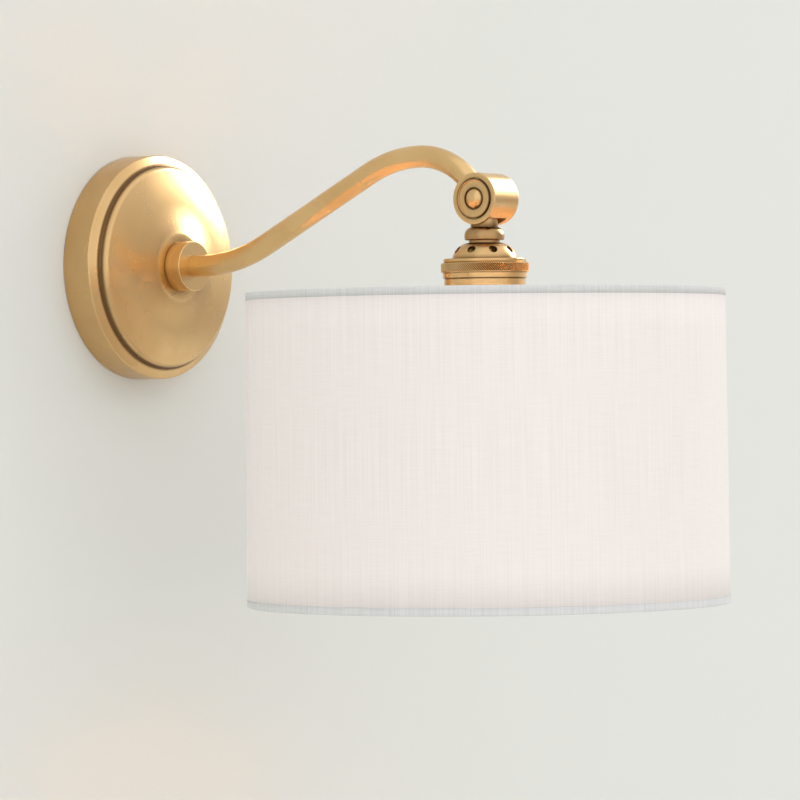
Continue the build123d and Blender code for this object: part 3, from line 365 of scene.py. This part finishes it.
def streaks(tree, source, across, along, detail=2.0):
    """Noise that is stretched into streaks; the two scales are per metre."""
    mapping = add(tree, "ShaderNodeMapping")
    mapping.inputs["Scale"].default_value = (across, along, 1)
    join(tree, source, mapping.inputs["Vector"])
    noise = add(tree, "ShaderNodeTexNoise", {"Scale": 1.0, "Detail": detail})
    join(tree, mapping.outputs["Vector"], noise.inputs["Vector"])
    return noise.outputs[0]


cloth_place = linen_in.outputs["Vector"]
upright = streaks(linen_weave, cloth_place, 1300.0, 14.0)
level = streaks(linen_weave, cloth_place, 60.0, 1500.0)
woven = math_node(linen_weave, "ADD", math_node(linen_weave, "MULTIPLY", upright, 0.62),
                  math_node(linen_weave, "MULTIPLY", level, 0.38))
slub = streaks(linen_weave, cloth_place, 520.0, 9.0, 1.0)
sharp = add(linen_weave, "ShaderNodeMapRange", {"From Min": 0.60, "From Max": 0.74})
join(linen_weave, slub, sharp.inputs["Value"])
join(linen_weave, woven, linen_out.inputs["Thread"])
join(linen_weave, sharp.outputs["Result"], linen_out.inputs["Slub"])
join(linen_weave, math_node(linen_weave, "ADD", woven, math_node(
    linen_weave, "MULTIPLY", sharp.outputs["Result"], 0.4)), linen_out.inputs["Height"])


def linen_material(name, light, dark, slub_colour, bump, glow):
    """A woven cloth. The lamp inside shines through it a little, which glow stands for."""
    material, tree, shader = new_material(
        name, roughness=0.9, Sheen_Weight=0.15,
        Emission_Color=(1, 0.93, 0.9, 1), Emission_Strength=glow)
    plan = add(tree, "ShaderNodeUVMap", uv_map="cloth")
    weave = add(tree, "ShaderNodeGroup", node_tree=linen_weave)
    join(tree, plan.outputs["UV"], weave.inputs["Vector"])
    contrast = add(tree, "ShaderNodeMapRange", {"From Min": 0.36, "From Max": 0.64})
    join(tree, weave.outputs["Thread"], contrast.inputs["Value"])
    threads = mix_colour(tree, contrast.outputs["Result"], (*dark, 1), (*light, 1))
    join(tree, mix_colour(tree, weave.outputs["Slub"], threads, (*slub_colour, 1)),
         shader.inputs["Base Color"])
    relief = add(tree, "ShaderNodeBump", {"Strength": bump, "Distance": 0.0003})
    join(tree, weave.outputs["Height"], relief.inputs["Height"])
    join(tree, relief.outputs["Normal"], shader.inputs["Normal"])
    return material


linen = linen_material(
    "linen", (.86, .80, .775), (.80, .74, .71), (.84, .785, .755), 0.35, 0.09)
edge_tape = linen_material(
    "edge_tape", (.77, .77, .765), (.66, .66, .655), (.73, .73, .725), 0.45, 0.0)

# %% [markdown]
# ## Finishes on the engineering model's pieces
# Each piece of the engineering model keeps its shape and takes the material of its slot.
# The plate, the knuckle and the turned pieces below it take the brass with patina, which on the
# plate holds painted shade as well.

# %% Assign finishes
slot_finish = {
    "satin_brass": satin_brass, "raw_brass": turned_brass, "zinc_steel": zinc_plate,
    "nickel_cap": nickel_plate, "terminal_nylon": terminal_nylon, "washer_nylon": black_nylon,
    "wire_insulation": wire_coat, "porcelain": porcelain, "black_glass": cap_glass,
    "bulb_glass": clear_glass, "warm_filament": light_stick, "linen": linen,
    "edge_tape": edge_tape, "styrene": lining, "white_wire": white_coat,
}
piece_finish = {
    "back_plate": plate_brass, "knuckle_housing": knuckle_brass, "end_disc": knuckle_brass,
    "pivot_screw": knuckle_brass, "neck_stem": head_brass, "vented_cap": head_brass,
    "holder_shell": head_brass,
}
for entry in frame["record"]["subparts"]:
    node = nodes[entry["node"]]
    finish = piece_finish.get(entry["node"], slot_finish[entry["material_slot"]])
    node.data.materials.clear()
    node.data.materials.append(finish)

# %% [markdown]
# ## Turned pieces
# The cloth, tape and knurled ring are all round about the head's axis. A few vertices are
# joined by edges into a section, and the spin operator turns that section into a ring.


# %% Spin helper
def section_point(radius, drop):
    """A point of a section, to the right of the head's axis; sizes in millimetres."""
    return pivot + Vector((radius, 0, -drop)) * MM


def spun(points, steps, closed=True):
    """Spins a section all the way round the head's axis and returns the bmesh."""
    mesh = bmesh.new()
    corners = [mesh.verts.new(section_point(*point)) for point in points]
    pairs = list(zip(corners, corners[1:]))
    if closed:
        pairs.append((corners[-1], corners[0]))
    edges = [mesh.edges.new(pair) for pair in pairs]
    bmesh.ops.spin(mesh, geom=corners + edges, cent=pivot, axis=(0, 0, 1),
                   angle=math.tau, steps=steps, use_merge=True)
    bmesh.ops.remove_doubles(mesh, verts=mesh.verts, dist=1e-6)
    bmesh.ops.recalc_face_normals(mesh, faces=mesh.faces)
    return mesh


def finish_piece(mesh, name, body, material, smooth=True):
    """Turns a bmesh into a piece that rides on a body."""
    data = bpy.data.meshes.new(name)
    mesh.to_mesh(data)
    mesh.free()
    piece = bpy.data.objects.new(name, data)
    bpy.context.scene.collection.objects.link(piece)
    data.materials.append(material)
    for face in data.polygons:
        face.use_smooth = smooth
    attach(piece, body)
    print(name, "faces", len(data.polygons))
    return piece


# %% [markdown]
# ## Cloth of the shade
# The linen is one strip, stretched round the two wire hoops. A UV map in metres is laid on
# it: round the drum for one direction and up it for the other. The map's ends meet where
# the real strip's ends lap.

# %% Shade cloth
shade_top, shade_bottom = 48.4, 214.8
top_radius, bottom_radius = 127.0, 128.0
cloth_thickness = 0.6
tape_cover = 0.9
drum_steps = 192
lap_angle = math.radians(-83.3)
mean_radius = (top_radius + bottom_radius) / 2 * MM


def drum_radius(drop):
    """The drum's outer radius, which widens a little from top to bottom."""
    return top_radius + (bottom_radius - top_radius) * (drop - shade_top) / (
        shade_bottom - shade_top)


def lay_out_cloth(mesh):
    """Gives a drum a UV map in metres, with its ends at the lap."""
    plan = mesh.loops.layers.uv.new("cloth")
    for face in mesh.faces:
        middle = face.calc_center_median() - pivot
        middle_turn = (math.atan2(middle.y, middle.x) - lap_angle) % math.tau
        for loop in face.loops:
            offset = loop.vert.co - pivot
            turned = (math.atan2(offset.y, offset.x) - lap_angle) % math.tau
            if turned - middle_turn > math.pi:
                turned -= math.tau
            elif middle_turn - turned > math.pi:
                turned += math.tau
            loop[plan].uv = (turned * mean_radius, loop.vert.co.z)


cloth_rows = 8
cloth_top, cloth_bottom = shade_top + tape_cover, shade_bottom - tape_cover
row_drops = [cloth_top + (cloth_bottom - cloth_top) * row / cloth_rows
             for row in range(cloth_rows + 1)]
cloth_section = [(drum_radius(drop), drop) for drop in row_drops]
cloth_section += [(drum_radius(drop) - cloth_thickness, drop) for drop in reversed(row_drops)]
cloth_mesh = spun(cloth_section, drum_steps)
lay_out_cloth(cloth_mesh)
shade_cloth = finish_piece(cloth_mesh, "shade_cloth", "shade", linen)

# %% [markdown]
# ## Tape on the edges
# A cotton tape covers each edge: a narrow band shows outside, and the rest turns over the
# hoop and down inside. The section is drawn as one line and given its thickness with the
# solidify operator.

# %% Edge tapes
tape_show = 4.2
tape_proud = 0.15
tape_thickness = 0.3
corner_reach = 0.6
hoop_middle, hoop_reach = 2.8, 2.4
tape_inside = 1.35  # inset of the tape's flat part inside, against the liner
tape_tuck, tape_lap, tape_height = 3.6, 8.0, 10.0  # its bends and end inside, from the edge
tape_turn_steps = 5


def tape_section(edge_drop, inward):
    """The tape's outer line, from its edge outside to its edge inside the shade."""
    line = [(-tape_proud, tape_show)]
    for middle, reach, first in ((corner_reach, corner_reach + tape_proud, 180),
                                 (hoop_middle, hoop_reach + tape_proud, 90)):
        for step in range(tape_turn_steps + 1):
            angle = math.radians(first - 90 * step / tape_turn_steps)
            line.append((middle + reach * math.cos(angle), reach - reach * math.sin(angle)))
    line += [(hoop_middle + hoop_reach + tape_proud, tape_tuck),
             (tape_inside, tape_lap), (tape_inside, tape_height)]
    section = []
    for inset, distance in line:
        drop = edge_drop + inward * distance
        section.append((drum_radius(drop) - inset, drop))
    return section


for node, edge_drop, inward in (("top_tape", shade_top, 1), ("bottom_tape", shade_bottom, -1)):
    tape_mesh = spun(tape_section(edge_drop, inward), drum_steps, closed=False)
    bmesh.ops.solidify(tape_mesh, geom=tape_mesh.faces[:], thickness=tape_thickness * MM)
    bmesh.ops.recalc_face_normals(tape_mesh, faces=tape_mesh.faces)
    lay_out_cloth(tape_mesh)
    tape = finish_piece(tape_mesh, "cotton_" + node, "shade", edge_tape)
    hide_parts(node)

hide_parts("shade_fabric")

# %% [markdown]
# ## Knurled ring
# The lampholder's ring is gripped by hand, so it has a diamond knurl: two sets of fine
# grooves that cross. A section with several rows is spun in twice as many steps as there
# are diamonds, and every other vertex is pulled in, like a chessboard, which leaves a
# small pyramid at each place between. A plain lip stays at the bottom.

# %% Knurled ring
ring_top, ring_bottom = 34.0, 39.0
ring_radius, ring_bore = 23.3, 20.65
knurl_count = 122
knurl_depth = 0.42
knurl_rows = 7
top_bevel_width, top_bevel_height = 0.5, 0.35
lip_height = 0.75
lip_inset = 0.05
lip_slope = 0.15  # height of each slope of the groove between knurl and lip
lip_bevel_width, lip_bevel_height = 0.2, 0.15
on_ring = 0.01  # how near to the ring's radius a vertex of the knurl is

knurl_start, knurl_end = ring_top + top_bevel_height, ring_bottom - lip_height
row_pitch = (knurl_end - knurl_start) / (knurl_rows - 1)
knurl_drops = [knurl_start + row_pitch * row for row in range(knurl_rows)]
ring_section = [(ring_bore, ring_top), (ring_radius - top_bevel_width, ring_top)]
ring_section += [(ring_radius, drop) for drop in knurl_drops]
ring_section += [(ring_radius - knurl_depth, knurl_end + lip_slope),
                 (ring_radius - lip_inset, knurl_end + 2 * lip_slope),
                 (ring_radius - lip_inset, ring_bottom - lip_bevel_height),
                 (ring_radius - lip_bevel_width, ring_bottom), (ring_bore, ring_bottom)]
ring_mesh = spun(ring_section, knurl_count * 2)
# The knurl's valleys are painted darker, as painted shade. This mask is 1 on the peaks and 0 in
# the pulled-in valleys.
unshaded = ring_mesh.verts.layers.float.new("knurl_unshaded")
for vertex in ring_mesh.verts:
    vertex[unshaded] = 1.0
    offset = vertex.co - pivot
    flat = Vector((offset.x, offset.y, 0))
    if abs(flat.length / MM - ring_radius) < on_ring:
        row = round((-offset.z / MM - knurl_start) / row_pitch)
        column = round(math.atan2(offset.y, offset.x) / math.tau * knurl_count * 2)
        if (column + row) % 2:
            vertex.co -= flat.normalized() * knurl_depth * MM
            vertex[unshaded] = 0.0
knurl_brass, knurl_tree, knurl_shader, knurl_finish = satin_metal(
    "knurl_brass", BRASS_LIGHT, BRASS_DARK, 0.24, 0.34)
unshaded_node = add(knurl_tree, "ShaderNodeAttribute", attribute_name="knurl_unshaded")
# A dark tone in the valleys and white on the peaks: painted shade, multiplied into the brass.
painted_groove_shade = mix_colour(knurl_tree, unshaded_node.outputs["Fac"], (0.2, 0.15, 0.12, 1), (1, 1, 1, 1))
join(knurl_tree, mix_colour(knurl_tree, 1.0, knurl_finish.outputs["Colour"], painted_groove_shade,
                            "MULTIPLY"), knurl_shader.inputs["Base Color"])
knurl_ring = finish_piece(ring_mesh, "knurl_ring", "lock_ring", knurl_brass,
                          smooth=False)
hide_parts("knurled_ring")

# %% [markdown]
# ## Wall and floor
# A wall light needs its wall: it catches the soft shadow that shows how far the plate
# stands out. Seen from behind, the wall is clear, so that the light can be looked at from
# there too. It still shades the hollow of the plate, which stays dark. A pale floor lies
# well below.


# %% Wall and floor
def stage_plane(name, facing, place, material):
    """A large square that the light stands before; it isn't part of the light."""
    mesh = bmesh.new()
    bmesh.ops.create_grid(mesh, x_segments=1, y_segments=1, size=stage_reach)
    bmesh.ops.transform(mesh, matrix=Matrix.Translation(place) @ facing, verts=mesh.verts)
    data = bpy.data.meshes.new(name)
    mesh.to_mesh(data)
    mesh.free()
    plane = bpy.data.objects.new(name, data)
    bpy.context.scene.collection.objects.link(plane)
    data.materials.append(material)


def stage_material(name, colour):
    """Matt paint that is clear when seen from behind."""
    material, tree, shader = new_material(name, roughness=0.95, Specular_IOR_Level=0.1,
                                          Base_Color=(*colour, 1))
    clear = add(tree, "ShaderNodeBsdfTransparent")
    side = add(tree, "ShaderNodeNewGeometry")
    choose = add(tree, "ShaderNodeMixShader")
    join(tree, side.outputs["Backfacing"], choose.inputs[0])
    join(tree, shader.outputs[0], choose.inputs[1])
    join(tree, clear.outputs[0], choose.inputs[2])
    join(tree, choose.outputs[0], tree.nodes["Material Output"].inputs["Surface"])
    return material


stage_reach = 6.0  # from the middle of the wall or floor to its sides
wall_gap = 0.0004  # keeps the wall clear of the plate's back
floor_ahead, floor_below = 3.0, 1.2
facing_room = Matrix.Rotation(math.radians(90), 4, "X")
facing_up = Matrix.Identity(4)
stage_plane("wall", facing_room, Vector((0, wall_gap, 0)),
            stage_material("wall_paint", (0.79, 0.80, 0.765)))
stage_plane("floor", facing_up, Vector((0, -floor_ahead, -floor_below)),
            stage_material("floor_paint", (0.8, 0.8, 0.78)))

# %% [markdown]
# ## Light
# A bright and even sky lights the wall and the shade. One patch of it, in front and to the
# right, is dimmer: the crown of the plate mirrors that patch, which gives the brass its
# depth. A lamp far to the right brightens that side. The wall light is switched on: a
# small warm lamp sits where its bulb is. Light linking chooses what a lamp shines on: the
# warm lamp is kept off the wall, so it shows only as an orange glow on the brass, and one
# more lamp shines on the brass alone, for its white highlights.

# %% Lamps
middle = (cad_low + cad_high) / 2


def soft_lamp(name, place, size, energy):
    """A square lamp that faces the middle of the light."""
    data = bpy.data.lights.new(name, "AREA")
    data.shape = "SQUARE"
    data.size = size
    data.energy = energy
    lamp = bpy.data.objects.new(name, data)
    bpy.context.scene.collection.objects.link(lamp)
    lamp.matrix_world = Matrix.Translation(place) @ (
        (middle - place).to_track_quat("-Z", "Y").to_matrix().to_4x4())
    return lamp


def shine_on(lamp, name, wanted):
    """Links a lamp to the meshes that wanted(object) picks."""
    lit = bpy.data.collections.new(name)
    for thing in bpy.context.scene.objects:
        if thing.type == "MESH" and wanted(thing):
            lit.objects.link(thing)
    lamp.light_linking.receiver_collection = lit


def is_brass(thing):
    """Whether one of a mesh's materials is a brass."""
    return any(slot.material and "brass" in slot.material.name for slot in thing.material_slots)


soft_lamp("key_lamp", middle + Vector((3.4, -0.95, 1.3)), size=1.7, energy=20.0)
brass_lamp = soft_lamp("brass_lamp", middle + Vector((3.3, -0.7, 1.6)), size=1.9, energy=120.0)
shine_on(brass_lamp, "lit_by_brass_lamp", is_brass)

bulb_drop, glow_radius = 137.9, 34.0
glow_data = bpy.data.lights.new("lamp_glow", "POINT")
glow_data.energy = 1.2
glow_data.color = (1.0, 0.40, 0.08)
glow_data.shadow_soft_size = glow_radius * MM
glow = bpy.data.objects.new("lamp_glow", glow_data)
glow.location = section_point(0, bulb_drop)
bpy.context.scene.collection.objects.link(glow)
shine_on(glow, "lit_by_glow", lambda thing: thing.name not in ("wall", "floor"))

world = bpy.data.worlds.new("sky")
bpy.context.scene.world = world
world.use_nodes = True
sky = world.node_tree
background = sky.nodes["Background"]
background.inputs["Strength"].default_value = 1.16
look = add(sky, "ShaderNodeTexCoord")
towards_patch = add(sky, "ShaderNodeVectorMath", operation="DOT_PRODUCT")
join(sky, look.outputs["Generated"], towards_patch.inputs[0])
towards_patch.inputs[1].default_value = Vector((0.8, -0.6, -0.1)).normalized()
dimming = add(sky, "ShaderNodeMapRange", {"From Min": 0.55, "From Max": 0.95})
join(sky, towards_patch.outputs["Value"], dimming.inputs["Value"])
join(sky, mix_colour(sky, dimming.outputs["Result"], (1, 1, 1, 1),
                     (0.42, 0.4, 0.38, 1)), background.inputs["Color"])
